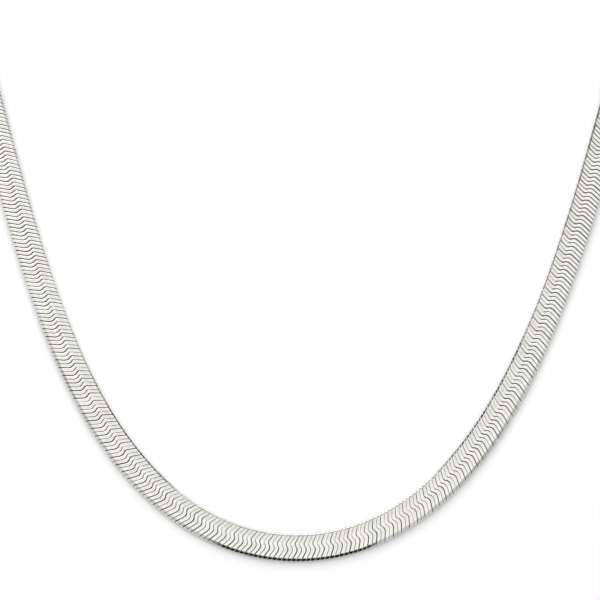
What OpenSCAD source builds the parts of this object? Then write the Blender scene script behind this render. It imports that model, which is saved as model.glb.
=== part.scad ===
// Herringbone chain necklace, lying flat and closed.
// A flat woven band of narrow S-shaped slats runs round the whole loop. Its two ends sit in
// pocket caps at the back, which two round rings and a hook-shaped clasp join.
// X is across, -Y is the front of the necklace, +Y its back, and the band lies on Z = 0.

/* [Necklace] */
// Length of the closed necklace, along the middle of the band
chain_length = 457; // [420:1:500]
// Radius of the band's inner edge at the middle of the front
front_radius = 34.2; // [30:0.1:38]
// Heading that the two sides settle to, measured from the front's cross line
side_angle = 75.5; // [70:0.5:80]

/* [Band] */
// Width of the band
band_w = 5.5; // [4.5:0.1:6.5]
// Thickness of the band over its slats
band_t = 1.45; // [1.2:0.05:1.8]
// Distance from one slat to the next, along the inner edge
link_pitch = 0.825; // [0.75:0.005:1.2]
// Depth of the groove between two slats
groove_d = 0.14; // [0.06:0.01:0.2]
// Width of the rounding along each edge
edge_in = 0.35; // [0.2:0.05:0.6]
// Drop of the slats at each edge
edge_drop = 0.14; // [0.05:0.01:0.3]
// Gap between the two halves of the band, as between any two links
half_gap = 0.05; // [0.02:0.01:0.1]

/* [Slats] */
// Lean of a slat near the inner edge, in degrees from straight across
inner_lean = 28.5; // [15:0.5:40]
// Lean of a slat's short middle step, the other way
middle_lean = 32.5; // [5:0.5:40]
// Lean of a slat near the outer edge
outer_lean = 23.5; // [15:0.5:40]
// Share of the width from the inner edge to a slat's first bend
inner_share = 0.4; // [0.3:0.01:0.45]
// Share of the width from a slat's first bend to its second
middle_share = 0.16; // [0.1:0.01:0.3]

/* [End caps] */
// Wall of the caps
cap_wall = 0.4; // [0.3:0.05:0.6]
// Gap between the band and the pocket that it sits in
cap_gap = 0.06; // [0.03:0.01:0.12]
// Depth of the pocket
pocket_depth = 4.5; // [3.5:0.1:6]
// Length of the cap from the pocket's end to the middle of its eye
nose_len = 3.6; // [3:0.1:5]
// Length over which the band rises from the surface to the pocket
rise_len = 16; // [10:1:25]
// Straight stretch of band before each cap
lead = 1; // [0.5:0.1:3]

/* [Eyes and rings] */
// Wire of the rings
ring_wire = 0.7; // [0.5:0.05:0.9]
// Lean of the rings from upright
ring_lean = 50; // [40:1:52]
// Clearance between a ring and what it passes through
ring_clear = 0.15; // [0.1:0.01:0.3]
// Free play of a ring between the two pieces that it joins
ring_play = 0.6; // [0.4:0.1:1.2]
// Thickness of an eye's plate
eye_t = 0.7; // [0.5:0.05:0.9]
// Width of metal round an eye's hole
eye_wall = 0.6; // [0.4:0.05:0.9]

/* [Clasp] */
// Length of the clasp, from the middle of its eye to the middle of its hook's wire
clasp_len = 11; // [10:0.1:14]
// Width of the clasp
clasp_w = 5.4; // [5:0.1:7]
// Wire of the hook
hook_wire = 1.1; // [0.9:0.1:1.3]
// Clearance between the ring and the inside of the hook's bend
hook_clear = 0.5; // [0.45:0.05:0.8]
// Length of the clasp's solid body behind the hook
clasp_body_len = 3.2; // [2.5:0.1:4]
// Rounding of the clasp's body
clasp_round = 0.7; // [0.4:0.1:0.8]
// Diameter of the thumb stud on the clasp's side
stud_d = 1.5; // [1:0.1:2]

/* [Hidden] */
$fn = 48;
silver = [0.86, 0.86, 0.84];
silver_dark = [0.76, 0.76, 0.75];

// Rings and eyes: a ring leans, so a hole that it passes through is wider than its wire
eye_hole = eye_t * tan(ring_lean) + ring_wire / cos(ring_lean) + 2 * ring_clear;
eye_r = eye_hole / 2 + eye_wall;
hook_seat = hook_wire / 2 + hook_clear + ring_wire / 2;
ring_mid_r = (eye_r + ring_play + hook_seat + hook_wire / 2) / 2;
eye_z = ring_mid_r * cos(ring_lean) + ring_wire / 2;

// End caps
lift = cap_wall + cap_gap;
cap_w = band_w + 2 * (cap_gap + cap_wall);
cap_h = band_t + 2 * (cap_gap + cap_wall);
cap_eye = pocket_depth + nose_len;

// Closing of the loop, from the left cap's eye to the right cap's eye, along X
closure = 4 * ring_mid_r + clasp_len - hook_seat;
left_eye_x = -closure / 2;
clasp_x = left_eye_x + 2 * ring_mid_r;
right_eye_x = closure / 2;
mouth_x = closure / 2 + cap_eye;
straight_x = mouth_x + lead;

// Route of the band's inner edge. The heading grows as a tanh from the front into the sides,
// and a plain round back then turns it to straight across, easing into its curve and out of it.
bend_len = front_radius * side_angle * PI / 180;
half_target = chain_length / 2 - band_w / 2 * PI;
ease_share = 0.35;
sum_steps = 200;

function tanh(x) = (exp(2 * x) - 1) / (exp(2 * x) + 1);
function side_heading(q) = side_angle * tanh(q);
function back_turn(u) = u < ease_share ? u * u / (2 * ease_share * (1 - ease_share))
    : u > 1 - ease_share ? 1 - (1 - u) * (1 - u) / (2 * ease_share * (1 - ease_share))
    : (u - ease_share / 2) / (1 - ease_share);
function back_heading(from, u) = from + (180 - from) * back_turn(u);
function mean(v, i = 0, total = 0) = i == len(v) ? total / i : mean(v, i + 1, total + v[i]);

// Sideways reach of the front and side, as a multiple of bend_len, and of the back, as a
// multiple of its length
function side_reach(q) =
    q * mean([for (i = [0:sum_steps - 1]) cos(side_heading(q * (i + 0.5) / sum_steps))]);
function back_reach(from) =
    mean([for (i = [0:sum_steps - 1]) cos(back_heading(from, (i + 0.5) / sum_steps))]);

// Length of the back's round stretch that ends where the straight one starts
function back_length(q) = (straight_x - bend_len * side_reach(q)) / back_reach(side_heading(q));
function half_length(q) = q * bend_len + back_length(q) + straight_x;

// Where the side ends and the back begins, so that the loop has its stated length
function solve_side(low, high, turns) =
    let (mid = (low + high) / 2)
    turns == 0 ? mid
        : half_length(mid) > half_target ? solve_side(low, mid, turns - 1)
        : solve_side(mid, high, turns - 1);

side_q = solve_side(1, 6, 40);
side_end = side_q * bend_len;
side_end_angle = side_heading(side_q);
back_len = back_length(side_q);
mouth_s = side_end + back_len + lead;
band_end = mouth_s + pocket_depth - cap_gap;

// Heading of the band at a distance along its inner edge from the middle of the front
function heading(s) = s < side_end ? side_heading(s / bend_len)
    : back_heading(side_end_angle, min(1, (s - side_end) / back_len));

// Points of the inner edge at even steps
path_step = 0.5;
path_count = ceil(band_end / path_step) + 2;
path = [for (i = 0, p = [0, 0]; i <= path_count;
    p = p + path_step * [cos(heading((i + 0.5) * path_step)), sin(heading((i + 0.5) * path_step))],
    i = i + 1) p];

function path_point(s) =
    let (k = floor(s / path_step), f = s / path_step - k)
    path[k] * (1 - f) + path[k + 1] * f;

back_y = path_point(band_end)[1];
centre_y = (back_y + band_w / 2 + cap_w / 2 - band_w) / 2;
closure_y = back_y + band_w / 2 - centre_y;

// Rise of the band's underside from the surface to the pocket
function ease(t) = let (u = max(0, min(1, t))) u * u * (3 - 2 * u);
function rise(s) = lift * ease((s - (mouth_s - rise_len)) / rise_len);

// A point of the band: along its inner edge, outwards from that edge, and up. A negative
// distance runs up the left side.
function band_point(s, w, z) =
    let (a = abs(s), p = path_point(a), h = heading(a), x = p[0] + w * sin(h))
    [s < 0 ? -x : x, p[1] - w * cos(h) - centre_y, z + rise(a)];

// Line of a slat across the top: columns are the share of the width from the inner edge, and
// how far the line stands along the band there, as a share of the width
first_bend = inner_share;
second_bend = inner_share + middle_share;
first_step = -tan(inner_lean) * inner_share;
second_step = first_step + tan(middle_lean) * middle_share;
last_step = second_step - tan(outer_lean) * (1 - second_bend);
slat_line = [
    [0, 0],
    [first_bend, first_step],
    [second_bend, second_step],
    [1, last_step]
];

// Slats straighten inside the cap, so that the band is cut square
function slant(s) = ease((band_end - abs(s)) / pocket_depth);

// Top row of one slat: inner edge, two bends, outer edge
top_w = [edge_in, first_bend * band_w, second_bend * band_w, band_w - edge_in];
top_z = [band_t - edge_drop, band_t, band_t, band_t - edge_drop];
function top_row(s, down) = [for (j = [0:3])
    band_point(s + slat_line[j][1] * band_w * slant(s), top_w[j], top_z[j] - down * slant(s))];

// Lower row: middle of the inner edge, underside's two corners, middle of the outer edge
edge_z = 0.45 * band_t;
low_w = [0, edge_in, band_w - edge_in, band_w];
low_z = [edge_z, 0, 0, edge_z];
low_step = [0, 0, last_step, last_step];
function low_row(s) = [for (j = [0:3])
    band_point(s + low_step[j] * band_w * slant(s), low_w[j], low_z[j])];

// Share of a slat's pitch from its groove to its crest
crest_share = 0.7;

// Half of the band, from s0 to s1. Each link has a groove row, a lower row and a crest row,
// and a last groove row and lower row close it.
module band_half(s0, s1) {
    links = round((s1 - s0) / link_pitch);
    pitch = (s1 - s0) / links;
    points = [
        for (k = [0:links]) let (s = s0 + k * pitch) each concat(
            top_row(s, groove_d),
            low_row(s),
            k < links ? top_row(s + crest_share * pitch, 0) : [])
    ];
    top = [for (k = [0:links - 1]) let (a = 12 * k, b = a + 8, n = a + 12) each [
        for (j = [0:2]) each [
            [a + j, b + j, b + j + 1],
            [a + j, b + j + 1, a + j + 1],
            [b + j, n + j, n + j + 1],
            [b + j, n + j + 1, b + j + 1]
        ]
    ]];
    edges = [for (k = [0:links - 1]) let (a = 12 * k, l = a + 4, b = a + 8, n = a + 12, m = a + 16) each [
        [a + 3, b + 3, l + 3],
        [b + 3, m + 3, l + 3],
        [b + 3, n + 3, m + 3],
        [l, m, b],
        [m, n, b],
        [l, b, a]
    ]];
    under = [for (k = [0:links - 1]) let (l = 12 * k + 4, m = l + 12) each [
        for (j = [0:2]) each [
            [l + j + 1, m + j + 1, m + j],
            [l + j + 1, m + j, l + j]
        ]
    ]];
    polyhedron(points, concat(top, edges, under, end_face(0, false), end_face(12 * links, true)));
}

// Cut face at one end of a half
function end_face(a, flip) = [
    for (t = [[0, 1, 5], [0, 5, 4], [1, 2, 5], [2, 6, 5], [2, 3, 6], [3, 7, 6]])
        flip ? [a + t[2], a + t[1], a + t[0]] : [a + t[0], a + t[1], a + t[2]]
];

module chain_left() {
    color(silver) band_half(-band_end, -half_gap / 2);
}

module chain_right() {
    color(silver) band_half(half_gap / 2, band_end);
}

// Flat rectangle with round corners, centred on the origin
module round_rect(w, h, r) {
    for (x = [-1, 1], y = [-1, 1])
        translate([x * (w / 2 - r), y * (h / 2 - r)]) circle(r);
    square([w, h - 2 * r], center = true);
    square([w - 2 * r, h], center = true);
}

// Eye plate with its middle at the origin, joined to its piece on the -X side
module eye_plate(join) {
    cylinder(r = eye_r, h = eye_t, center = true);
    translate([-join / 2, 0, 0]) cube([join, 2 * eye_r, eye_t], center = true);
}

// Outline that is full from start to full_end and narrows to a plate at taper_end. The plate's
// limits and the full limits are given across it, and its full end may have round corners.
module taper_outline(start, full_end, taper_end, full, plate, corner) {
    polygon([
        [start + corner, full[0]], [full_end, full[0]], [taper_end, plate[0]],
        [taper_end, plate[1]], [full_end, full[1]], [start + corner, full[1]]
    ]);
    if (corner > 0)
        translate([start + 1.5 * corner, (full[0] + full[1]) / 2])
            round_rect(3 * corner, full[1] - full[0], corner);
}

// A body that narrows in plan and in height from a full section to an eye plate
module tapered_body(start, full_end, taper_end, w, h, mid_z, corner) {
    intersection() {
        linear_extrude(h)
            taper_outline(start, full_end, taper_end, [-w / 2, w / 2], [-eye_r, eye_r], corner);
        translate([0, w / 2, 0]) rotate([90, 0, 0]) linear_extrude(w)
            taper_outline(start, full_end, taper_end, [0, h],
                [mid_z - eye_t / 2, mid_z + eye_t / 2], corner);
    }
}

// End cap along +X: its mouth at X = 0 and its eye at X = cap_eye
module end_cap() {
    hole_edge = cap_eye - eye_hole / 2;
    taper_end = hole_edge - eye_wall / 2;
    difference() {
        union() {
            intersection() {
                tapered_body(0, pocket_depth + cap_wall, taper_end, cap_w, cap_h, eye_z, 0);
                translate([0, 0, cap_h / 2]) rotate([90, 0, 90])
                    linear_extrude(cap_eye) round_rect(cap_w, cap_h, cap_wall);
            }
            translate([cap_eye, 0, eye_z]) eye_plate(cap_eye - taper_end + 0.1);
        }
        translate([-1, -band_w / 2 - cap_gap, cap_wall])
            cube([pocket_depth + 1, band_w + 2 * cap_gap, band_t + 2 * cap_gap]);
        translate([cap_eye, 0, eye_z]) cylinder(d = eye_hole, h = 2 * eye_t, center = true);
    }
}

module end_cap_left() {
    color(silver_dark) translate([-mouth_x, closure_y, 0]) end_cap();
}

module end_cap_right() {
    color(silver_dark) translate([mouth_x, closure_y, 0]) rotate([0, 0, 180]) end_cap();
}

module jump_ring(x) {
    translate([x, closure_y, eye_z]) rotate([90 - ring_lean, 0, 0])
        rotate_extrude() translate([ring_mid_r, 0]) circle(d = ring_wire);
}

module jump_ring_left() {
    color(silver_dark) jump_ring(left_eye_x + ring_mid_r);
}

module jump_ring_right() {
    color(silver_dark) jump_ring(right_eye_x - ring_mid_r);
}

// Clasp along +X from its eye: a solid body, two side wires and a round hook end
module clasp() {
    hook_r = (clasp_w - hook_wire) / 2;
    hook_x = clasp_len - hook_r;
    taper_end = eye_hole / 2 + eye_wall / 2;
    body_start = eye_r + clasp_round;
    body_end = body_start + clasp_body_len;
    clasp_h = 2 * eye_z;
    color(silver) translate([clasp_x, closure_y, 0]) difference() {
        union() {
            mirror([1, 0, 0])
                tapered_body(-body_end, -body_start, -taper_end, clasp_w, clasp_h, eye_z, clasp_round);
            translate([hook_x, 0, eye_z]) rotate([0, 0, -90])
                rotate_extrude(angle = 180) translate([hook_r, 0]) circle(d = hook_wire);
            for (y = [-hook_r, hook_r])
                translate([body_start, y, eye_z]) rotate([0, 90, 0])
                    cylinder(d = hook_wire, h = hook_x - body_start);
            translate([0, 0, eye_z]) rotate([0, 0, 180]) eye_plate(taper_end + 0.1);
            translate([body_end - stud_d / 2, -clasp_w / 2, eye_z])
                cylinder(d = stud_d, h = eye_z, center = true);
        }
        translate([0, 0, eye_z]) cylinder(d = eye_hole, h = 2 * eye_t, center = true);
    }
}

chain_left();
chain_right();
end_cap_left();
end_cap_right();
jump_ring_left();
jump_ring_right();
clasp();
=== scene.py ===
"""Herringbone chain necklace: the woven band, its fittings, their finishes, the light and the camera.

The necklace lies closed on a pale surface. Its band is built slat by slat: one slat is modelled by
hand, repeated along the band and bent round the same route as the solids. The caps, rings and
clasp close it at the back. Every length in this file is in metres unless a name says otherwise.
"""
import logging
import math
import random
from dataclasses import dataclass, field
from enum import Enum
from typing import Callable

import bmesh
import bpy
from mathutils import Matrix, Vector


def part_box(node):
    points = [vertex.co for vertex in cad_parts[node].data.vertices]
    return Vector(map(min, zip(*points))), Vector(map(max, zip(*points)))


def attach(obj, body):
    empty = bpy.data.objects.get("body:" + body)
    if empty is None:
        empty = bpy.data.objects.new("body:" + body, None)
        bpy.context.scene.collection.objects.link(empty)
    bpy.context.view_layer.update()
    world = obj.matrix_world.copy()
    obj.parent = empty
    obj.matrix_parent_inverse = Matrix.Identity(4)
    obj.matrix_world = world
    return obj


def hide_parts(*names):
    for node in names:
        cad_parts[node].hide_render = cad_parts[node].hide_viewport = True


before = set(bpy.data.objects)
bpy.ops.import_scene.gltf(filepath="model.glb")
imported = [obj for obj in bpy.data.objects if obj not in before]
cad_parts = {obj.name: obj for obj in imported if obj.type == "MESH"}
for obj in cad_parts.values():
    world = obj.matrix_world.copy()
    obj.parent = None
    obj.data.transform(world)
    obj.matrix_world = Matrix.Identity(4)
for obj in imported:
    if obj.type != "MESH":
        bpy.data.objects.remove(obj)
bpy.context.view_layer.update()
MM = 0.001
# Distances under which points are one, and under which they stand at the same place, and the
# decimals by which such places are told apart
MERGED = 1e-7
SAME_PLACE = 1e-6
PLACE_DECIMALS = 7
# Least part of a face's normal along an axis for a face that looks that way
FACING = 0.5
# Profile of a bevel that is a round arc
ROUND = 0.5
LOG = logging.getLogger("necklace")
# What goes into a node's input: another node's output or a constant
Feed = bpy.types.NodeSocket | float | tuple[float, float, float, float]


class Side(Enum):
    """The two sides of the necklace, with the sign of X there."""

    LEFT = -1
    RIGHT = 1


class Row(Enum):
    """Rows of points along one slat, from its tucked edge to the end of its crest."""

    TUCK = 0
    BODY = 1
    CREST = 2
    END = 3


# How much of the hollow between two slats' ends each row stands in, which is how much painted shade the
# edges' dark dashes put there
HOLLOW = {Row.TUCK: 1.0, Row.BODY: 1.0, Row.CREST: 0.7, Row.END: 0.0}


# Modelling helpers

def clear_selection() -> None:
    """Leave edit mode and deselect every object."""
    if bpy.context.object is not None and bpy.context.object.mode != "OBJECT":
        bpy.ops.object.mode_set(mode="OBJECT")
    bpy.ops.object.select_all(action="DESELECT")


def activate(*pieces: bpy.types.Object) -> None:
    """Select the pieces alone and make the first one active.

    Args:
        pieces: The objects to select.
    """
    clear_selection()
    for piece in pieces:
        piece.select_set(True)
    bpy.context.view_layer.objects.active = pieces[0]


def pick(piece: bpy.types.Object, kind: str, test: Callable[[object], bool]) -> None:
    """Select the parts of a mesh in edit mode that pass a test, and nothing else.

    Args:
        piece: The object in edit mode.
        kind: VERT, EDGE or FACE.
        test: Says whether one vertex, edge or face is wanted.
    """
    bpy.ops.mesh.select_mode(type=kind)
    bpy.ops.mesh.select_all(action="DESELECT")
    form = bmesh.from_edit_mesh(piece.data)
    parts = {"VERT": form.verts, "EDGE": form.edges, "FACE": form.faces}[kind]
    form.normal_update()
    for part in [part for part in parts if test(part)]:
        part.select_set(True)
    form.select_flush_mode()
    bmesh.update_edit_mesh(piece.data)


def modify(piece: bpy.types.Object, kind: str, **settings: object) -> None:
    """Add a modifier to a piece, set it and apply it.

    Args:
        piece: The mesh object.
        kind: The modifier's type.
        settings: Its properties by name, in the order in which they are set.
    """
    activate(piece)
    modifier = piece.modifiers.new(kind.lower(), kind)
    for name, value in settings.items():
        setattr(modifier, name, value)
    bpy.ops.object.modifier_apply(modifier=modifier.name)


def fix_in_place() -> None:
    """Move the selected object's place, turn and size into its mesh."""
    bpy.ops.object.transform_apply(location=True, rotation=True, scale=True)


def middle_of(edge: bmesh.types.BMEdge) -> Vector:
    """Middle point of an edge."""
    return (edge.verts[0].co + edge.verts[1].co) / 2


def reach_of(edge: bmesh.types.BMEdge) -> float:
    """How far an edge reaches along X."""
    return abs(edge.verts[0].co.x - edge.verts[1].co.x)


def mix(low: float, high: float, share: float) -> float:
    """Value at a share of the way from low to high."""
    return low + (high - low) * share


def eased(share: float) -> float:
    """A share that starts and ends gently."""
    return share * share * (3 - 2 * share)


def block(low: Vector, high: Vector) -> bpy.types.Object:
    """Add a plain block and enter edit mode on it.

    Args:
        low: Its lowest corner.
        high: Its highest corner.

    Returns:
        The block's object.
    """
    clear_selection()
    bpy.ops.mesh.primitive_cube_add(size=1.0, location=(low + high) / 2, scale=high - low)
    piece = bpy.context.object
    fix_in_place()
    bpy.ops.object.mode_set(mode="EDIT")
    return piece


def unite(body: bpy.types.Object, other: bpy.types.Object, operation: str = "UNION") -> None:
    """Join another closed shape to a body, or cut it out, and remove the other object.

    Args:
        body: The object that stays.
        other: The object that is used up.
        operation: UNION or DIFFERENCE.
    """
    modify(body, "BOOLEAN", operation=operation, solver="EXACT", object=other)
    bpy.data.objects.remove(other, do_unlink=True)


def close_shape(piece: bpy.types.Object, smooth_angle: float) -> None:
    """Merge doubles, point the faces outwards and smooth the soft edges.

    Args:
        piece: The finished mesh object.
        smooth_angle: Largest angle between faces that shades smooth, in degrees.
    """
    activate(piece)
    bpy.ops.object.mode_set(mode="EDIT")
    bpy.ops.mesh.select_all(action="SELECT")
    bpy.ops.mesh.remove_doubles(threshold=MERGED)
    bpy.ops.mesh.normals_make_consistent(inside=False)
    bpy.ops.object.mode_set(mode="OBJECT")
    bpy.ops.object.shade_smooth_by_angle(angle=math.radians(smooth_angle))
    modify(piece, "WEIGHTED_NORMAL", weight=100, keep_sharp=True)


def hand_in(piece: bpy.types.Object, name: str, node: str, finish: bpy.types.Material) -> None:
    """Name a finished piece, dress it and enter it in the frame.

    Args:
        piece: The finished object, at the origin.
        name: The piece's name.
        node: The CAD node that it stands for.
        finish: The piece's material.
    """
    piece.name = name
    piece.data.name = name
    piece.data.materials.clear()
    piece.data.materials.append(finish)
    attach(piece, "root")
    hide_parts(node)
    LOG.info("%s: %d faces", name, len(piece.data.polygons))


# Route of the band

@dataclass
class Route:
    """Route of the band's inner edge on the surface, as the solids follow it.

    From the middle of the front, the heading settles to side_angle as a hyperbolic tangent does.
    The back then turns on, with an eased start and end, into a short straight lead to each cap,
    and the band rises there from the surface to the cap's pocket.
    """

    length: float = 457 * MM
    front_radius: float = 34.2 * MM
    side_angle: float = math.radians(75.5)
    width: float = 5.5 * MM
    thick: float = 1.45 * MM
    lift: float = 0.46 * MM
    rise_len: float = 16 * MM
    lead: float = 1 * MM
    pocket_depth: float = 4.44 * MM
    ease_share: float = 0.35
    step: float = 0.4 * MM
    reach_steps: int = 200
    side_search: tuple[float, float] = (1.0, 6.0)
    halvings: int = 40
    points: list[Vector] = field(default_factory=list)

    def __post_init__(self) -> None:
        """Solve the route from the frame's end caps and lay out its points."""
        low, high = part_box("end_cap_left")
        self.mouth_x = -low[0]
        self.closure_y = (low[1] + high[1]) / 2
        self.straight_x = self.mouth_x + self.lead
        self.bend_len = self.front_radius * self.side_angle
        self.side_q = self.solve_side()
        self.side_end = self.side_q * self.bend_len
        self.side_end_angle = self.side_heading(self.side_q)
        self.back_len = self.back_length(self.side_q)
        self.mouth_s = self.side_end + self.back_len + self.lead
        self.end = self.mouth_s + self.pocket_depth
        self.lay_out()

    def side_heading(self, share: float) -> float:
        """Heading on the front and side, where share counts bend lengths from the front."""
        return self.side_angle * math.tanh(share)

    def back_turn(self, share: float) -> float:
        """Part of the back's turn that is done at a place along the back.

        Args:
            share: The place, as a share of the back's length.

        Returns:
            The part, from 0 to 1.
        """
        ease = self.ease_share
        full = 2 * ease * (1 - ease)
        if share < ease:
            return share * share / full
        if share > 1 - ease:
            return 1 - (1 - share) ** 2 / full
        return (share - ease / 2) / (1 - ease)

    def back_heading(self, start: float, share: float) -> float:
        """Heading on the back's round stretch, from the heading at its start."""
        return start + (math.pi - start) * self.back_turn(share)

    def side_reach(self, share: float) -> float:
        """Sideways reach of the front and side, in bend lengths."""
        steps = self.reach_steps
        total = sum(math.cos(self.side_heading(share * (i + 0.5) / steps)) for i in range(steps))
        return share * total / steps

    def back_reach(self, start: float) -> float:
        """Sideways reach of the back's round stretch, as a share of its length."""
        steps = self.reach_steps
        return sum(math.cos(self.back_heading(start, (i + 0.5) / steps)) for i in range(steps)) / steps

    def back_length(self, share: float) -> float:
        """Length of the back's round stretch that ends where the straight one starts."""
        short = self.straight_x - self.bend_len * self.side_reach(share)
        return short / self.back_reach(self.side_heading(share))

    def solve_side(self) -> float:
        """Find where the side ends, so that the loop has its whole length.

        Returns:
            The side's end, in bend lengths from the front.
        """
        target = self.length / 2 - self.width / 2 * math.pi
        low, high = self.side_search
        for _ in range(self.halvings):
            middle = (low + high) / 2
            reached = middle * self.bend_len + self.back_length(middle) + self.straight_x
            low, high = (low, middle) if reached > target else (middle, high)
        return (low + high) / 2

    def heading(self, along: float) -> float:
        """Heading at a place along the inner edge.

        Args:
            along: The place's distance from the middle of the front.

        Returns:
            The heading, as an angle from +X.
        """
        if along < self.side_end:
            return self.side_heading(along / self.bend_len)
        return self.back_heading(self.side_end_angle, min(1.0, (along - self.side_end) / self.back_len))

    def rise(self, along: float) -> float:
        """Height of the band's underside at a distance along the inner edge."""
        share = max(0.0, min(1.0, (along - self.mouth_s + self.rise_len) / self.rise_len))
        return self.lift * eased(share)

    def lay_out(self) -> None:
        """Fill in the points of the whole inner edge, from the left end to the right end."""
        count = math.ceil(self.end / self.step)
        size = self.end / count
        half = [Vector((0.0, 0.0, 0.0))]
        for i in range(count):
            turn = self.heading((i + 0.5) * size)
            half.append(half[-1] + size * Vector((math.cos(turn), math.sin(turn), 0.0)))
        shift = self.closure_y - self.width / 2 - half[-1].y
        right = [Vector((p.x, p.y + shift, self.rise(i * size))) for i, p in enumerate(half)]
        left = [Vector((-p.x, p.y, p.z)) for p in reversed(right[1:])]
        self.points = left + right

    def guide(self) -> bpy.types.Object:
        """Draw the route as a curve for the bending of pieces.

        Returns:
            The curve object, which its user deletes.
        """
        curve = bpy.data.curves.new("guide", "CURVE")
        curve.dimensions = "3D"
        curve.twist_mode = "Z_UP"
        spline = curve.splines.new("POLY")
        spline.points.add(len(self.points) - 1)
        for spot, point in zip(spline.points, self.points):
            spot.co = (*point, 1.0)
        guide = bpy.data.objects.new("guide", curve)
        bpy.context.collection.objects.link(guide)
        return guide


# Finishes

def rgba(colour: tuple[float, float, float], factor: float = 1.0) -> tuple[float, float, float, float]:
    """A colour with its brightness multiplied, and full cover."""
    return (*[part * factor for part in colour], 1.0)


class Nodes:
    """Short ways to add nodes to one node tree."""

    def __init__(self, tree: bpy.types.NodeTree) -> None:
        """Keep the tree that the nodes go into."""
        self.tree = tree

    def add(self, kind: str) -> bpy.types.Node:
        """Add a node."""
        return self.tree.nodes.new(kind)

    def link(self, source: bpy.types.NodeSocket, target: bpy.types.NodeSocket) -> None:
        """Link an output to an input."""
        self.tree.links.new(source, target)

    def ramp(self, source: bpy.types.NodeSocket, span: tuple[float, float],
             results: tuple[float, float] = (0.0, 1.0)) -> bpy.types.NodeSocket:
        """Map a value smoothly from one range to another.

        Args:
            source: The value.
            span: Values between which the result changes.
            results: Results at the two ends of the span.

        Returns:
            The socket with the result.
        """
        node = self.add("ShaderNodeMapRange")
        node.interpolation_type = "SMOOTHSTEP"
        for name, value in zip(("From Min", "From Max", "To Min", "To Max"), (*span, *results)):
            node.inputs[name].default_value = value
        self.link(source, node.inputs["Value"])
        return node.outputs["Result"]

    def combine(self, operation: str, first: bpy.types.NodeSocket,
                second: bpy.types.NodeSocket) -> bpy.types.NodeSocket:
        """Combine two values.

        Args:
            operation: The maths operation.
            first: The first value.
            second: The second value.

        Returns:
            The socket with the result.
        """
        node = self.add("ShaderNodeMath")
        node.operation = operation
        self.link(first, node.inputs[0])
        self.link(second, node.inputs[1])
        return node.outputs[0]

    def parts(self, source: bpy.types.NodeSocket) -> bpy.types.NodeOutputs:
        """Split a vector into its X, Y and Z sockets.

        Args:
            source: The vector.

        Returns:
            The three sockets, by name.
        """
        node = self.add("ShaderNodeSeparateXYZ")
        self.link(source, node.inputs[0])
        return node.outputs

    def attribute(self, name: str) -> bpy.types.NodeOutputs:
        """Read a vector attribute of the mesh.

        Args:
            name: The attribute's name.

        Returns:
            Its X, Y and Z sockets, by name.
        """
        node = self.add("ShaderNodeAttribute")
        node.attribute_name = name
        return self.parts(node.outputs["Vector"])

    def noise(self, scale: float, detail: float) -> bpy.types.NodeSocket:
        """Noise in the piece's own coordinates.

        Args:
            scale: How fine it is, in waves per metre.
            detail: How many finer layers it has.

        Returns:
            The socket with its value.
        """
        node = self.add("ShaderNodeTexNoise")
        node.inputs["Scale"].default_value = scale
        node.inputs["Detail"].default_value = detail
        self.link(self.add("ShaderNodeTexCoord").outputs["Object"], node.inputs["Vector"])
        return node.outputs["Fac"]

    def blend(self, kind: str, share: bpy.types.NodeSocket, first: Feed,
              second: Feed) -> bpy.types.NodeSocket:
        """Blend two colours or two values.

        Args:
            kind: RGBA or FLOAT.
            share: How much of the second one there is.
            first: The one at 0, as a socket or a constant.
            second: The one at 1, as a socket or a constant.

        Returns:
            The socket with the result.
        """
        node = self.add("ShaderNodeMix")
        node.data_type = kind
        self.link(share, node.inputs["Factor"])
        for name, part in (("A", first), ("B", second)):
            if isinstance(part, bpy.types.NodeSocket):
                self.link(part, node.inputs[name])
            else:
                node.inputs[name].default_value = part
        return node.outputs["Result"]


def new_finish(name: str, metal: float) -> tuple[bpy.types.Material, Nodes, bpy.types.Node]:
    """Start a finish's material.

    Args:
        name: The material's name.
        metal: 1 for metal, otherwise 0.

    Returns:
        The material, its nodes and its main shader.
    """
    material = bpy.data.materials.new(name)
    material.use_nodes = True
    shader = material.node_tree.nodes["Principled BSDF"]
    shader.inputs["Metallic"].default_value = metal
    return material, Nodes(material.node_tree), shader


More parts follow.
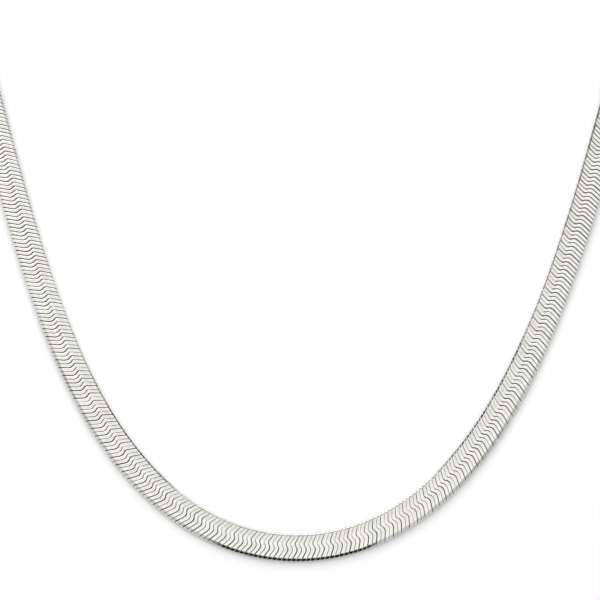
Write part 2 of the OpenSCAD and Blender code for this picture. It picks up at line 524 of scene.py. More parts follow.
@dataclass(frozen=True)
class SlatSilver:
    """Polished silver of the slats, with painted shade and tarnish in the grooves and painted shade and
    dark reflections along the slats' ends.

    The mesh carries two attributes. In "weave", X is 1 in a groove, Y is how dark the painted shade and
    tarnish of that groove are and Z is the slat's own tone. In "rim", X is how far a point is from the
    painted edge line, in half widths of that line, Y is 1 along the hollow part of a slat's end, and Z is
    how dark its painted shade is.
    """

    bright: tuple[float, float, float] = (0.91, 0.895, 0.853)
    # Colour of the painted shade and tarnish in the grooves, and of the painted shade and dark reflections
    # along the edges
    shade_and_tarnish: tuple[float, float, float] = (0.022, 0.021, 0.02)
    tone_range: float = 0.035
    groove_span: tuple[float, float] = (0.2, 0.7)
    line_span: tuple[float, float] = (0.75, 1.25)
    hollow_span: tuple[float, float] = (0.35, 0.65)
    polish: float = 0.16
    polish_change: float = 0.25
    worn: float = 0.55
    grain_scale: float = 1400.0
    grain_detail: float = 3.0
    grain_span: tuple[float, float] = (0.3, 0.7)
    bump_strength: float = 0.08
    bump_height: float = 0.02 * MM

    def build(self) -> bpy.types.Material:
        """Make the material.

        Returns:
            The new material.
        """
        material, nodes, shader = new_finish("slat_silver", 1.0)
        weave, rim = nodes.attribute("weave"), nodes.attribute("rim")
        # Painted shade: the grooves darken with shade and tarnish, the edge lines with shade and dark
        # reflections, all in one dark colour
        groove = nodes.ramp(nodes.combine("MULTIPLY", weave["X"], weave["Y"]), self.groove_span)
        line = nodes.combine("MULTIPLY", nodes.ramp(rim["X"], self.line_span, (1.0, 0.0)),
                             nodes.ramp(rim["Y"], self.hollow_span))
        dark = nodes.combine("MAXIMUM", groove, nodes.combine("MULTIPLY", line, rim["Z"]))
        tone = nodes.blend("RGBA", weave["Z"], rgba(self.bright, 1 - self.tone_range),
                           rgba(self.bright, 1 + self.tone_range))
        nodes.link(nodes.blend("RGBA", dark, tone, rgba(self.shade_and_tarnish)), shader.inputs["Base Color"])
        self.wear(nodes, shader, dark)
        return material

    def wear(self, nodes: Nodes, shader: bpy.types.Node, dark: bpy.types.NodeSocket) -> None:
        """Add fine rub marks to the roughness and to the surface.

        Args:
            nodes: The material's nodes.
            shader: The main shader.
            dark: How much painted shade and tarnish the surface has.
        """
        grain = nodes.noise(self.grain_scale, self.grain_detail)
        rough = (self.polish * (1 - self.polish_change), self.polish * (1 + self.polish_change))
        polish = nodes.ramp(grain, self.grain_span, rough)
        worn = nodes.ramp(dark, (0.0, 1.0), (0.0, self.worn))
        nodes.link(nodes.combine("ADD", polish, worn), shader.inputs["Roughness"])
        bump = nodes.add("ShaderNodeBump")
        bump.inputs["Strength"].default_value = self.bump_strength
        bump.inputs["Distance"].default_value = self.bump_height
        nodes.link(grain, bump.inputs["Height"])
        nodes.link(bump.outputs["Normal"], shader.inputs["Normal"])


@dataclass(frozen=True)
class PolishedSilver:
    """Polished silver of the caps, rings and clasp, with fine rub marks."""

    bright: tuple[float, float, float] = (0.79, 0.775, 0.742)
    dull: float = 0.9
    polish: float = 0.12
    polish_range: tuple[float, float] = (0.7, 1.5)
    rub_scale: float = 900.0
    rub_detail: float = 4.0
    rub_span: tuple[float, float] = (0.3, 0.7)

    def build(self) -> bpy.types.Material:
        """Make the material.

        Returns:
            The new material.
        """
        material, nodes, shader = new_finish("fitting_silver", 1.0)
        rub = nodes.noise(self.rub_scale, self.rub_detail)
        tone = nodes.blend("RGBA", rub, rgba(self.bright, self.dull), rgba(self.bright))
        nodes.link(tone, shader.inputs["Base Color"])
        low, high = self.polish_range
        rough = nodes.ramp(rub, self.rub_span, (self.polish * low, self.polish * high))
        nodes.link(rough, shader.inputs["Roughness"])
        return material


@dataclass(frozen=True)
class PaleFloor:
    """White matt surface that the necklace lies on."""

    tone: tuple[float, float, float] = (0.92, 0.92, 0.92)
    roughness: float = 0.9

    def build(self) -> bpy.types.Material:
        """Make the material.

        Returns:
            The new material.
        """
        material, _, shader = new_finish("pale_floor", 0.0)
        shader.inputs["Base Color"].default_value = rgba(self.tone)
        shader.inputs["Roughness"].default_value = self.roughness
        shader.inputs["Specular IOR Level"].default_value = 0.0
        return material


# Band

@dataclass(frozen=True)
class Slat:
    """One slat: a thin S-shaped slice of the band, with a crest and an edge tucked under the next.

    A slat runs along Y from the inner edge at 0 to the outer edge at -width, and the band runs
    along X. Leans are measured from straight across, and bends are shares of the width. Along X
    come the tucked edge, the body, the crest and the end, which is a gap short of the pitch.
    """

    pitch: float
    width: float
    thick: float
    first_bend: float = 0.396
    second_bend: float = 0.555
    heel_end: float = 0.68
    inner_lean: float = math.radians(-28.3)
    middle_lean: float = math.radians(32.6)
    heel_lean: float = math.radians(-14)
    outer_lean: float = math.radians(-26)
    bend_half: float = 0.042
    edge_round: float = 0.46 * MM
    tuck: float = 0.0 * MM
    body: float = 0.13 * MM
    crest: float = 0.60 * MM
    gap: float = 0.05 * MM
    tuck_drop: float = 0.11 * MM
    end_drop: float = 0.07 * MM

    def corners(self) -> list[tuple[float, float]]:
        """Corners of a slat's line, before its bends are cut off.

        Returns:
            Pairs of share across and step along, both as shares of the width.
        """
        line = [(0.0, 0.0)]
        for across, lean in ((self.first_bend, self.inner_lean), (self.second_bend, self.middle_lean),
                             (self.heel_end, self.heel_lean), (1.0, self.outer_lean)):
            line.append((across, line[-1][1] + math.tan(lean) * (across - line[-1][0])))
        return line

    @staticmethod
    def between(start: tuple[float, float], end: tuple[float, float], across: float) -> tuple[float, float]:
        """Point on the stretch from start to end at a share across."""
        share = (across - start[0]) / (end[0] - start[0])
        return across, start[1] + share * (end[1] - start[1])

    def line(self) -> list[tuple[float, float]]:
        """Points of a slat's line, with its two bends cut off on both sides.

        Returns:
            Pairs of share across and step along, from the inner edge.
        """
        ends = self.corners()
        points = [ends[0]]
        for before, bend, after in zip(ends[:2], ends[1:3], ends[2:4]):
            points.append(self.between(before, bend, bend[0] - self.bend_half))
            points.append(self.between(bend, after, bend[0] + self.bend_half))
        return points + ends[3:]

    def step_at(self, y: float) -> float:
        """Distance along the band at which a slat's line stands.

        Args:
            y: The place across the band.

        Returns:
            The distance from the line's start at the inner edge.
        """
        across = min(1.0, max(0.0, -y / self.width))
        points = self.line()
        for start, end in zip(points, points[1:]):
            if across <= end[0]:
                return self.between(start, end, across)[1] * self.width
        return points[-1][1] * self.width

    def rows(self) -> dict[Row, float]:
        """Places of a slat's rows along its own pitch."""
        return {Row.TUCK: self.tuck, Row.BODY: self.body, Row.CREST: self.crest,
                Row.END: self.pitch - self.gap}

    def row_of(self, x: float, y: float) -> Row:
        """The row that a point of the first slat belongs to."""
        along = x - self.step_at(y)
        return min(self.rows(), key=lambda row: abs(self.rows()[row] - along))

    def build(self) -> bpy.types.Object:
        """Model the slat.

        Returns:
            The slat's object, at the start of the band.
        """
        rows = self.rows()
        start, end = rows[Row.BODY], rows[Row.CREST]
        piece = block(Vector((start, -self.width, 0)), Vector((end, 0, self.thick)))
        # Both edges are rounded, in two steps on top and in one below
        for segments, test in ((2, lambda z: z > self.thick / 2), (1, lambda z: z < self.thick / 2)):
            pick(piece, "EDGE", lambda e, keep=test: keep(middle_of(e).z)
                 and reach_of(e) > (end - start) / 2)
            bpy.ops.mesh.bevel(offset=self.edge_round, segments=segments, profile=ROUND)
        # The straight block is cut across at the line's bends, and slid into its S shape
        for across, _ in self.line()[1:-1]:
            bpy.ops.mesh.select_all(action="SELECT")
            bpy.ops.mesh.bisect(plane_co=(0, -across * self.width, 0), plane_no=(0, 1, 0))
        points = bmesh.from_edit_mesh(piece.data).verts
        places = sorted({round(v.co.y, PLACE_DECIMALS) for v in points})
        for place in places:
            pick(piece, "VERT", lambda v, y=place: abs(v.co.y - y) < SAME_PLACE)
            bpy.ops.transform.translate(value=(self.step_at(place), 0, 0))
        # The tucked edge and the end are drawn out, a little lower and narrower
        for sign, row, drop in ((-1, rows[Row.TUCK] - start, self.tuck_drop),
                                (1, rows[Row.END] - end, self.end_drop)):
            pick(piece, "FACE", lambda f, s=sign: f.normal.x * s > FACING)
            bpy.ops.mesh.extrude_region_move(TRANSFORM_OT_translate={"value": (row, 0, 0)})
            bpy.ops.transform.resize(
                value=(1.0, 1 - 2 * drop / self.width, 1 - 2 * drop / self.thick),
                center_override=(0, -self.width / 2, self.thick / 2))
        bpy.ops.object.mode_set(mode="OBJECT")
        return piece


@dataclass(frozen=True)
class WeaveLook:
    """How the weave and the painted shade in and along it look at one place along the band.

    Attributes:
        along_mm: The place, from the middle of the front, negative on the left side.
        main: Darkness of the painted shade and tarnish in every second groove, in its inner, middle and
            outer part.
        between: The same for the grooves between those.
        ends: Darkness of the painted shade and dark reflections at the slats' ends along the inner and the
            outer edge.
        solid: How far the inner edge's painted dark ends run together into one line.
        inset: Where that painted line lies: 0 on the rounded edge, 1 past it on the top, -1 on the wall.
    """

    along_mm: float
    main: tuple[float, float, float]
    between: tuple[float, float, float]
    ends: tuple[float, float]
    solid: float = 0.0
    inset: float = 0.0


# The weave's painted shade round the whole loop: place, every second groove, those between, ends, solid and
# inset
LOOKS = tuple(WeaveLook(*row) for row in (
    (-150, (0.85, 1.1, 1.0), (0.8, 1.0, 0.9), (0.4, 0.3)),
    (-118, (0.85, 1.25, 1.05), (0.8, 1.15, 0.95), (0.3, 0.1)),
    (-90, (0.83, 1.4, 1.05), (0.71, 1.15, 0.88), (0.2, 0.04)),
    (-70, (0.76, 1.25, 1.05), (0.56, 0.9, 0.75), (0.1, 0.1), 0.3, -0.2),
    (-56, (0.74, 1.2, 1.05), (0.51, 0.85, 0.72), (0.55, 0.4), 0.8, -0.5),
    (-46, (0.76, 1.15, 1.05), (0.48, 0.78, 0.68), (1.0, 0.35), 1.0, -0.45),
    (-34, (0.74, 1.02, 1.05), (0.47, 0.74, 0.7), (0.85, 0.25), 1.0, -0.3),
    (-24, (0.73, 0.97, 1.02), (0.46, 0.7, 0.7), (0.45, 0.28), 1.0, 0.5),
    (-15, (0.7, 0.78, 1.0), (0.44, 0.6, 0.68), (0.5, 0.28), 1.0, 0.9),
    (-11, (0.69, 0.7, 1.0), (0.43, 0.56, 0.67), (0.52, 1.0), 1.0, 1.0),
    (13.5, (0.62, 0.66, 0.92), (0.4, 0.54, 0.58), (0.55, 1.0), 1.0, 1.0),
    (16.5, (0.61, 0.7, 0.9), (0.4, 0.55, 0.56), (0.55, 0.28), 1.0, 0.95),
    (26, (0.56, 0.78, 0.78), (0.37, 0.6, 0.51), (0.55, 0.28), 0.7, 0.7),
    (36, (0.58, 1.22, 0.88), (0.38, 0.94, 0.55), (0.75, 0.45)),
    (48, (0.58, 1.5, 0.96), (0.38, 1.05, 0.57), (0.85, 0.4)),
    (62, (0.72, 1.6, 1.15), (0.43, 1.1, 0.66), (0.9, 0.15), 0.0, 0.25),
    (78, (0.86, 1.8, 1.4), (0.5, 1.2, 0.74), (0.95, 0.06), 0.0, 0.6),
    (90, (0.93, 1.9, 1.5), (0.6, 1.4, 0.85), (0.92, 0.04), 0.0, 0.45),
    (104, (0.95, 1.9, 1.6), (0.75, 1.5, 0.95), (0.88, 0.04), 0.0, 0.3),
    (120, (1.05, 1.5, 1.3), (0.85, 1.2, 0.85), (0.8, 0.3)),
    (150, (0.9, 1.1, 1.0), (0.8, 1.0, 0.9), (0.4, 0.3)),
))


def look_at(along_mm: float) -> WeaveLook:
    """Look of the weave at a distance from the middle of the front, in millimetres.

    Args:
        along_mm: The distance, negative on the left side.

    Returns:
        The look between the two nearest ones that are given.
    """
    if along_mm <= LOOKS[0].along_mm:
        return LOOKS[0]
    for low, high in zip(LOOKS, LOOKS[1:]):
        if along_mm <= high.along_mm:
            share = (along_mm - low.along_mm) / (high.along_mm - low.along_mm)
            return WeaveLook(
                along_mm,
                tuple(mix(a, b, share) for a, b in zip(low.main, high.main)),
                tuple(mix(a, b, share) for a, b in zip(low.between, high.between)),
                tuple(mix(a, b, share) for a, b in zip(low.ends, high.ends)),
                mix(low.solid, high.solid, share), mix(low.inset, high.inset, share))
    return LOOKS[-1]


@dataclass
class Band:
    """The woven band in its two halves.

    The lines are the painted dark ones along the two edges, painted shade and dark reflections, given as
    half widths and as insets from the rounded edge. The places that end in _at are steps over the rounded
    edge, in widths of its rounding, from its middle towards the top, and negative down the wall.
    """

    route: Route
    silver: bpy.types.Material
    pitch: float = 0.826 * MM
    left_margin: float = 1.75 * MM
    right_margin: float = 0.1 * MM
    uneven: float = 0.18
    # Widths, places and extra darkness of the painted shade lines along the two edges
    inner_line: float = 0.3 * MM
    outer_line: float = 0.3 * MM
    inset_line: float = 0.11 * MM
    outset_line: float = 0.2 * MM
    outer_inset: float = 0.09 * MM
    faint_inset: float = 0.32 * MM
    outer_extra: float = 0.15
    # Darkness of the painted shade low on the slats' walls
    wall_shade: float = 0.48
    faint_lift: float = 0.85
    wall_share: float = 0.1
    brim_share: float = 0.7
    underside_at: float = -4.0
    wall_foot_at: float = -1.2
    wall_head_at: float = -0.5
    top_at: float = 0.77
    smooth_angle: float = 50.0
    seed: int = 11

    def __post_init__(self) -> None:
        """Work out how many slats there are and where they start."""
        room = 2 * self.route.end - self.left_margin - self.right_margin
        self.count = round(room / self.pitch)
        self.pitch = room / self.count
        self.middle = round((self.route.end - self.left_margin) / self.pitch)
        self.slat = Slat(self.pitch, self.route.width, self.route.thick)
        self.brim = self.brim_share * self.slat.edge_round / self.route.width
        self.dice = random.Random(self.seed)

    def build(self) -> None:
        """Model both halves, bend them along the route and give them their finish."""
        guide = self.route.guide()
        for side, first, last in ((Side.LEFT, 0, self.middle), (Side.RIGHT, self.middle, self.count)):
            piece = self.run(first, last)
            modify(piece, "CURVE", object=guide, deform_axis="POS_X")
            close_shape(piece, self.smooth_angle)
            half = side.name.lower()
            hand_in(piece, f"band_{half}", f"chain_{half}", self.silver)
        bpy.data.objects.remove(guide, do_unlink=True)

    def run(self, first: int, last: int) -> bpy.types.Object:
        """Model one half as a straight row of slats.

        Args:
            first: Number of the first slat.
            last: Number past the last slat.

        Returns:
            The row's object.
        """
        piece = self.slat.build()
        base = [(self.slat.row_of(v.co.x, v.co.y), -v.co.y / self.route.width, v.co.z)
                for v in piece.data.vertices]
        modify(piece, "ARRAY", count=last - first, use_relative_offset=False,
               use_constant_offset=True, constant_offset_displace=(self.pitch, 0, 0))
        piece.location.x = self.left_margin + self.pitch * first
        fix_in_place()
        self.mark(piece, base, first)
        return piece

    def groove_look(self, look: WeaveLook, across: float, is_main: bool) -> float:
        """Darkness of the painted shade and tarnish in a groove at one place.

        Args:
            look: Look of the weave there.
            across: Share across the band.
            is_main: Whether the groove is one of the main ones.

        Returns:
            The darkness.
        """
        inner, middle, outer = look.main if is_main else look.between
        if across < self.slat.first_bend:
            return inner
        if across < self.slat.second_bend:
            return middle
        return outer

    def mark(self, piece: bpy.types.Object, base: list[tuple[Row, float, float]], first: int) -> None:
        """Write the attributes that carry the finish's painted shade, and make the faint grooves shallower.

        Args:
            piece: The straight row of slats.
            base: Row, share across and height of each point of one slat.
            first: Number of the row's first slat.
        """
        weave = piece.data.attributes.new("weave", "FLOAT_VECTOR", "POINT")
        rim = piece.data.attributes.new("rim", "FLOAT_VECTOR", "POINT")
        drops = {Row.TUCK: self.slat.tuck_drop, Row.END: self.slat.end_drop}
        points = piece.data.vertices
        for number in range(len(points) // len(base)):
            slat = first + number
            tone = self.dice.random()
            force = 1 + self.uneven * (2 * self.dice.random() - 1)
            look = look_at((self.left_margin + slat * self.pitch - self.route.end) / MM)
            for i, (row, across, height) in enumerate(base):
                spot = number * len(base) + i
                is_late = row in (Row.CREST, Row.END)
                # How dark the painted shade and tarnish of this slat's groove are
                dark = self.groove_look(look, across, (slat + is_late) % 2 == 0)
                rim.data[spot].vector = self.rim_at(look, row, across, height, force)
                weave.data[spot].vector = (*self.weave_at(look, row, across, height, dark * force), tone)
                if row in drops and height >= self.route.thick / 2:
                    points[spot].co.z += self.faint_lift * drops[row] * max(0.0, 1 - dark)

    def weave_at(self, look: WeaveLook, row: Row, across: float, height: float,
                 dark: float) -> tuple[float, float]:
        """Groove part of the weave attribute of a point of a slat.

        Args:
            look: Look of the weave there.
            row: The point's row.
            across: Its share across the band.
            height: Its height.
            dark: Darkness of the painted shade and tarnish in the groove there.

        Returns:
            Whether it is in a groove, 1 or 0, and how dark that groove is.
        """
        # Points low on the wall get painted shade, which the inner wall loses where its edge line moves
        # onto the top
        if height < self.route.thick / 2:
            bare = max(0.0, look.inset) if across < 0.5 else 0.0
            return 1.0, self.wall_shade * (1 - bare)
        # The grooves' painted shade stays off the rounded edge where an edge line takes its place
        closed = 0.0
        if across < self.brim:
            closed = max(0.0, look.inset)
        elif 1 - across < self.brim and row is Row.END:
            closed = look.ends[1]
        return float(row in (Row.TUCK, Row.END)), dark * (1 - closed)

    def edge_place(self, across: float, height: float) -> float:
        """Place of a point over the band's rounded edge.

        Args:
            across: The point's share across the band.
            height: Its height.

        Returns:
            Its distance from the middle of the rounding, negative down the wall.
        """
        from_edge = min(across, 1 - across) * self.route.width
        curve = self.slat.edge_round
        on_wall = from_edge < self.wall_share * curve
        if height < self.route.thick / 2:
            return (self.wall_foot_at if on_wall else self.underside_at) * curve
        if on_wall:
            return self.wall_head_at * curve
        if from_edge < self.brim_share * curve:
            return 0.0
        return self.top_at * curve + from_edge - curve

    def rim_at(self, look: WeaveLook, row: Row, across: float, height: float,
               force: float) -> tuple[float, float, float]:
        """Edge attribute of a point of a slat, which places the painted shade and dark reflections along
        the edges.

        Args:
            look: Look of the weave there.
            row: The point's row.
            across: Its share across the band.
            height: Its height.
            force: The slat's own factor.

        Returns:
            Distance from the edge's painted dark line in half widths, hollow of the slat's end, and
            darkness of that painted shade.
        """
        place = self.edge_place(across, height)
        if across > 0.5:
            home = mix(self.faint_inset, self.outer_inset, look.ends[1])
            dark = look.ends[1] * (force + self.outer_extra)
            return abs(place - home) / self.outer_line, HOLLOW[row], min(1.0, dark)
        if look.inset > 0:
            moved = abs(place - self.top_at * self.slat.edge_round) / self.inset_line
        else:
            moved = abs(place - self.wall_head_at * self.slat.edge_round) / self.outset_line
        distance = mix(abs(place) / self.inner_line, moved, abs(look.inset))
        return distance, mix(HOLLOW[row], 1.0, look.solid), min(1.0, look.ends[0] * force)


# Fittings

def column(radius: float, low: Vector, high: Vector, sides: int = 48) -> bpy.types.Object:
    """Add an upright cylinder.

    Args:
        radius: Its radius.
        low: Middle of its lower face.
        high: Middle of its upper face.
        sides: Number of its sides.

    Returns:
        The cylinder's object.
    """
    clear_selection()
    bpy.ops.mesh.primitive_cylinder_add(vertices=sides, radius=radius, depth=(high - low).length,
                                        location=(low + high) / 2)
    fix_in_place()
    return bpy.context.object


def soften(piece: bpy.types.Object, width: float, angle: float = 38.0) -> None:
    """Round off a piece's sharp edges.

    Args:
        piece: The closed mesh object.
        width: Width of the rounding.
        angle: Smallest angle between faces that counts as an edge, in degrees.
    """
    modify(piece, "BEVEL", width=width, segments=2, limit_method="ANGLE", angle_limit=math.radians(angle))


@dataclass(frozen=True)
class Eye:
    """Flat round eye that a jump ring passes through, on a neck that narrows to it."""

    outer: float = 1.712 * MM
    hole: float = 1.1115 * MM
    thick: float = 0.7 * MM
    height: float = 1.72 * MM
    neck: float = 1.7
    neck_steps: int = 5

    def narrow(self, start: float, reach: float, width: float, top: float) -> None:
        """Draw the selected end face of a body out to the eye's plate, in an easing curve.

        Args:
            start: Place of the face along X.
            reach: Distance to draw it, negative towards -X.
            width: The body's width.
            top: The body's height.
        """
        width_before, top_before = width, top
        for step in range(1, self.neck_steps + 1):
            share = step / self.neck_steps
            width_now = mix(width, self.neck * self.outer, eased(share))
            top_now = mix(top, self.thick, eased(share))
            middle_before = mix(top / 2, self.height, (top - top_before) / (top - self.thick))
            middle_now = mix(top / 2, self.height, (top - top_now) / (top - self.thick))
            bpy.ops.mesh.extrude_region_move(
                TRANSFORM_OT_translate={"value": (reach / self.neck_steps, 0, middle_now - middle_before)})
            bpy.ops.transform.resize(
                value=(1.0, width_now / width_before, top_now / top_before),
                center_override=(start + reach * share, 0, middle_now))
            width_before, top_before = width_now, top_now

    def add(self, body: bpy.types.Object, place: float) -> None:
        """Join the eye to a body and cut its hole.

        Args:
            body: The body, whose drawn-out end reaches into the eye.
            place: Middle of the eye along X.
        """
        low = Vector((place, 0, self.height - self.thick / 2))
        high = Vector((place, 0, self.height + self.thick / 2))
        unite(body, column(self.outer, low, high))
        reach = Vector((0, 0, self.thick))
        unite(body, column(self.hole, low - reach, high + reach), "DIFFERENCE")


@dataclass(frozen=True)
class EndCap:
    """Flat pocket cap over one end of the band, drawn out to an eye."""

    width: float = 6.42 * MM
    top: float = 2.37 * MM
    wall: float = 0.4 * MM
    corner: float = 0.55 * MM
    corner_steps: int = 5
    pocket: float = 4.5 * MM
    pocket_corner: float = 0.2 * MM
    pocket_corner_steps: int = 3
    full: float = 4.9 * MM
    eye_place: float = 8.1 * MM
    eye_overlap: float = 0.6
    edge: float = 0.09 * MM
    smooth_angle: float = 35.0
    eye: Eye = Eye()

    def build(self, side: Side, mouth_x: float, closure_y: float, polish: bpy.types.Material) -> None:
        """Model the cap at its place.

        Args:
            side: Which end of the band it holds.
            mouth_x: Distance of its mouth from the necklace's middle.
            closure_y: Middle of the closure along Y.
            polish: The cap's material.
        """
        piece = block(Vector((0, -self.width / 2, 0)), Vector((self.full, self.width / 2, self.top)))
        pick(piece, "EDGE", lambda e: reach_of(e) > self.full / 2)
        bpy.ops.mesh.bevel(offset=self.corner, segments=self.corner_steps, profile=ROUND)
        pick(piece, "FACE", lambda f: f.normal.x > FACING)
        neck_end = self.eye_place - self.eye.outer * self.eye_overlap
        self.eye.narrow(self.full, neck_end - self.full, self.width, self.top)
        unite(piece, self.hollow(), "DIFFERENCE")
        self.eye.add(piece, self.eye_place)
        soften(piece, self.edge)
        close_shape(piece, self.smooth_angle)
        piece.rotation_euler.z = 0.0 if side is Side.LEFT else math.pi
        piece.location = (side.value * mouth_x, closure_y, 0)
        activate(piece)
        fix_in_place()
        name = side.name.lower()
        hand_in(piece, f"cap_{name}", f"end_cap_{name}", polish)

    def hollow(self) -> bpy.types.Object:
        """Model the shape of the pocket.

        Returns:
            The shape's object, to cut out of the cap.
        """
        half = self.width / 2 - self.wall
        piece = block(Vector((-self.pocket, -half, self.wall)),
                      Vector((self.pocket, half, self.top - self.wall)))
        pick(piece, "EDGE", lambda e: reach_of(e) > self.pocket)
        bpy.ops.mesh.bevel(offset=self.pocket_corner, segments=self.pocket_corner_steps, profile=ROUND)
        bpy.ops.object.mode_set(mode="OBJECT")
        return piece


@dataclass(frozen=True)
class Clasp:
    """Plain hook-shaped clasp in one piece: an eye, a solid body, a closed round hook and a stud."""

    width: float = 5.4 * MM
    body_start: float = 2.41 * MM
    body_end: float = 5.61 * MM
    corner: float = 0.7 * MM
    corner_steps: int = 5
    wire: float = 0.55 * MM
    wire_sides: int = 16
    hook_reach: float = 2.15 * MM
    hook_x: float = 8.85 * MM
    hook_steps: int = 24
    stud: float = 0.75 * MM
    stud_span: tuple[float, float] = (0.25, 0.75)
    stud_sides: int = 32
    eye_overlap: float = 0.7
    edge: float = 0.08 * MM
    smooth_angle: float = 35.0
    eye: Eye = Eye()

    def build(self, place_x: float, closure_y: float, polish: bpy.types.Material) -> None:
        """Model the clasp at its place.

        Args:
            place_x: Middle of its eye along X.
            closure_y: Middle of the closure along Y.
            polish: The clasp's material.
        """
        top = 2 * self.eye.height
        piece = block(Vector((self.body_start, -self.width / 2, 0)),
                      Vector((self.body_end, self.width / 2, top)))
        pick(piece, "EDGE", lambda e: reach_of(e) > self.corner
             or middle_of(e).x > self.body_end - self.corner)
        bpy.ops.mesh.bevel(offset=self.corner, segments=self.corner_steps, profile=ROUND)
        pick(piece, "FACE", lambda f: f.normal.x < -FACING)
        neck_end = self.eye.outer * self.eye_overlap
        self.eye.narrow(self.body_start, neck_end - self.body_start, self.width, top)
        unite(piece, self.hook())
        low, high = (Vector((self.body_end - self.stud, -self.width / 2, share * top))
                     for share in self.stud_span)
        unite(piece, column(self.stud, low, high, self.stud_sides))
        self.eye.add(piece, 0.0)
        soften(piece, self.edge)
        close_shape(piece, self.smooth_angle)
        activate(piece)
        piece.location = (place_x, closure_y, 0)
        fix_in_place()
        hand_in(piece, "hook_clasp", "clasp", polish)

    def hook(self) -> bpy.types.Object:
        """Bend the hook's round wire out of the body, round its end and back.

        Returns:
            The wire's object.
        """
        clear_selection()
        start, height = self.body_end - self.corner, self.eye.height
        bpy.ops.mesh.primitive_circle_add(
            vertices=self.wire_sides, radius=self.wire, fill_type="NGON",
            location=(start, self.hook_reach, height), rotation=(0, math.pi / 2, 0))
        piece = bpy.context.object
        fix_in_place()
        bpy.ops.object.mode_set(mode="EDIT")
        bpy.ops.mesh.select_all(action="SELECT")
        reach = self.hook_x - start
        bpy.ops.mesh.extrude_region_move(TRANSFORM_OT_translate={"value": (reach, 0, 0)})
        bpy.ops.mesh.spin(steps=self.hook_steps, angle=math.pi, center=(self.hook_x, 0, height),
                          axis=(0, 0, 1))
        bpy.ops.mesh.extrude_region_move(TRANSFORM_OT_translate={"value": (-reach, 0, 0)})
        bpy.ops.mesh.select_all(action="SELECT")
        bpy.ops.mesh.normals_make_consistent(inside=False)
        bpy.ops.object.mode_set(mode="OBJECT")
        return piece


@dataclass(frozen=True)
class JumpRing:
    """Round wire ring between an eye and the clasp, whose form is the solid's own."""

    side: Side

    def build(self, polish: bpy.types.Material) -> None:
        """Give the ring its finish.

        Args:
            polish: The ring's material.
        """
        ring = bpy.data.objects[f"jump_ring_{self.side.name.lower()}"]
        ring.data.materials.clear()
        ring.data.materials.append(polish)
        LOG.info("%s: the solid's own mesh", ring.name)


# Light and camera

@dataclass(frozen=True)
class Softbox:
    """One square soft light that faces the necklace, with its power in watts."""

    name: str
    place: tuple[float, float, float]
    size: float
    power: float
    is_seen: bool = True
    is_mirrored: bool = True

    def hang(self) -> None:
        """Hang the light at its place."""
        data = bpy.data.lights.new(self.name, "AREA")
        data.shape = "SQUARE"
        data.size = self.size
        data.energy = self.power
        light = bpy.data.objects.new(self.name, data)
        bpy.context.collection.objects.link(light)
        light.location = self.place
        light.rotation_euler = (-Vector(self.place)).to_track_quat("-Z", "Y").to_euler()
        light.visible_camera = self.is_seen
        light.visible_glossy = self.is_mirrored


SOFTBOXES = (
    Softbox("back", (-0.1, 0.75, 0.7), 0.7, 1.3),
    Softbox("left", (-0.5, 0.4, 0.6), 0.6, 1.1, is_mirrored=False),
    Softbox("near", (0.0, -0.015, 0.045), 0.05, 0.0095, is_seen=False, is_mirrored=False),
    Softbox("top", (0.0, 0.0, 0.25), 0.06, 0.055, is_seen=False, is_mirrored=False),
)


@dataclass
class Tent:
    """Light tent round the necklace, whose brightness the metal mirrors.

    Its top is dimmer in the middle, its walls are bright, a darker seam joins the two, and its
    front is open low down. Spans are parts of the direction along X squared, Y or Z.
    """

    overhead: float = 0.80
    around: float = 1.02
    lengthwise: float = 1.0
    dim_middle: float = math.radians(17.5)
    dim_reach: float = math.radians(13)
    low_front: float = 0.25
    low_back: float = 1.0
    seam: float = 0.55
    side_span: tuple[float, float] = (0.1, 0.4)
    front_span: tuple[float, float] = (-0.8, -0.2)
    wall_span: tuple[float, float] = (0.05, 0.5)
    seam_start: tuple[float, float] = (0.42, 0.52)
    seam_end: tuple[float, float] = (0.60, 0.72)

    def build(self) -> None:
        """Make the tent as the scene's world."""
        world = bpy.data.worlds.new("tent")
        world.use_nodes = True
        nodes = Nodes(world.node_tree)
        sky = world.node_tree.nodes["Background"]
        sky.inputs["Color"].default_value = (1.0, 1.0, 1.0, 1.0)
        way = nodes.add("ShaderNodeTexCoord").outputs["Generated"]
        axes = nodes.parts(way)
        low = nodes.ramp(axes["Y"], self.front_span, (self.low_front, self.low_back))
        height = nodes.ramp(axes["Z"], self.wall_span)
        bright = nodes.blend("FLOAT", height, low, self.top(nodes, way, axes))
        seam = nodes.combine("MULTIPLY", nodes.ramp(axes["Z"], self.seam_start),
                             nodes.ramp(axes["Z"], self.seam_end, (1.0, 0.0)))
        strength = nodes.combine("MULTIPLY", bright, nodes.ramp(seam, (0.0, 1.0), (1.0, self.seam)))
        nodes.link(strength, sky.inputs["Strength"])
        bpy.context.scene.world = world

    def top(self, nodes: Nodes, way: bpy.types.NodeSocket,
            axes: bpy.types.NodeOutputs) -> bpy.types.NodeSocket:
        """Brightness of the tent's top, which is dim round one direction.

        Args:
            nodes: The world's nodes.
            way: The direction.
            axes: Its X, Y and Z sockets.

        Returns:
            The socket with the brightness.
        """
        toward = nodes.add("ShaderNodeVectorMath")
        toward.operation = "DOT_PRODUCT"
        toward.inputs[1].default_value = (0.0, math.sin(self.dim_middle), math.cos(self.dim_middle))
        nodes.link(way, toward.inputs[0])
        across = nodes.combine("MULTIPLY", axes["X"], axes["X"])
        walls = nodes.ramp(across, self.side_span, (self.lengthwise, self.around))
        centre = nodes.ramp(toward.outputs["Value"], (math.cos(self.dim_reach), 1.0))
        return nodes.blend("FLOAT", centre, walls, self.overhead)


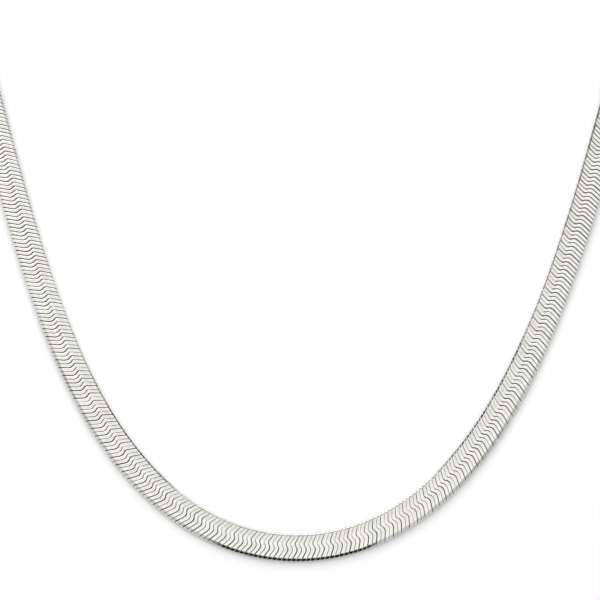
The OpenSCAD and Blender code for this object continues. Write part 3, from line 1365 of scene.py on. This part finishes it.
@dataclass
class Studio:
    """Pale surface, soft light and the camera of the picture.

    Places in the picture are in its pixels, and px is the size of one on the necklace.
    """

    image_px: int = 600
    px: float = 0.2 * MM
    lens_px: float = 4200.0
    sensor_mm: float = 36.0
    near_clip: float = 0.01
    far_clip: float = 20.0
    tilt: float = math.radians(11)
    roll: float = math.radians(0.81)
    front_px: tuple[float, float] = (-5.55, -235.3)
    floor_size: float = 6.0
    floor_drop: float = 0.01 * MM

    def camera(self, front: Vector) -> None:
        """Place the camera so that the band's front stands where it does in the picture.

        Args:
            front: The lowest point of the inner edge in the picture, on the band's top.
        """
        swing = Matrix.Rotation(self.roll, 4, "Z")
        offset = swing @ Vector((-self.front_px[0] * self.px, -self.front_px[1] * self.px, 0.0))
        target = front + offset
        distance = self.lens_px * self.px
        turn = Matrix.Rotation(self.tilt, 4, "X") @ swing
        data = bpy.data.cameras.new("camera")
        data.sensor_width = self.sensor_mm
        data.lens = data.sensor_width * self.lens_px / self.image_px
        data.clip_start = self.near_clip
        data.clip_end = self.far_clip
        camera = bpy.data.objects.new("camera", data)
        bpy.context.collection.objects.link(camera)
        camera.matrix_world = Matrix.Translation(target + turn @ Vector((0, 0, distance))) @ turn
        bpy.context.scene.camera = camera

    def floor(self) -> None:
        """Lay the pale surface."""
        clear_selection()
        bpy.ops.mesh.primitive_plane_add(size=self.floor_size, location=(0, 0, -self.floor_drop))
        floor = bpy.context.object
        floor.name = "surface"
        fix_in_place()
        floor.data.materials.append(PaleFloor().build())

    def build(self, front: Vector) -> None:
        """Set up the camera, surface, tent and lights.

        Args:
            front: The lowest point of the inner edge in the picture, on the band's top.
        """
        self.camera(front)
        self.floor()
        Tent().build()
        for softbox in SOFTBOXES:
            softbox.hang()
        scene = bpy.context.scene
        scene.view_settings.view_transform = "Standard"
        scene.view_settings.look = "None"


def main() -> None:
    """Build the necklace piece by piece, light it and report what was made."""
    logging.basicConfig(level=logging.INFO, format="%(name)s: %(message)s")
    route = Route()
    LOG.info("route: half length %.1f mm", route.end / MM)
    Band(route, SlatSilver().build()).build()
    polish = PolishedSilver().build()
    for side in Side:
        EndCap().build(side, route.mouth_x, route.closure_y, polish)
    clasp_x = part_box("clasp")[0][0] + Eye().outer
    Clasp().build(clasp_x, route.closure_y, polish)
    for side in Side:
        JumpRing(side).build(polish)
    front = Vector((0.0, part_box("chain_right")[0][1] + route.width, route.thick))
    Studio().build(front)


if __name__ == "__main__":
    main()
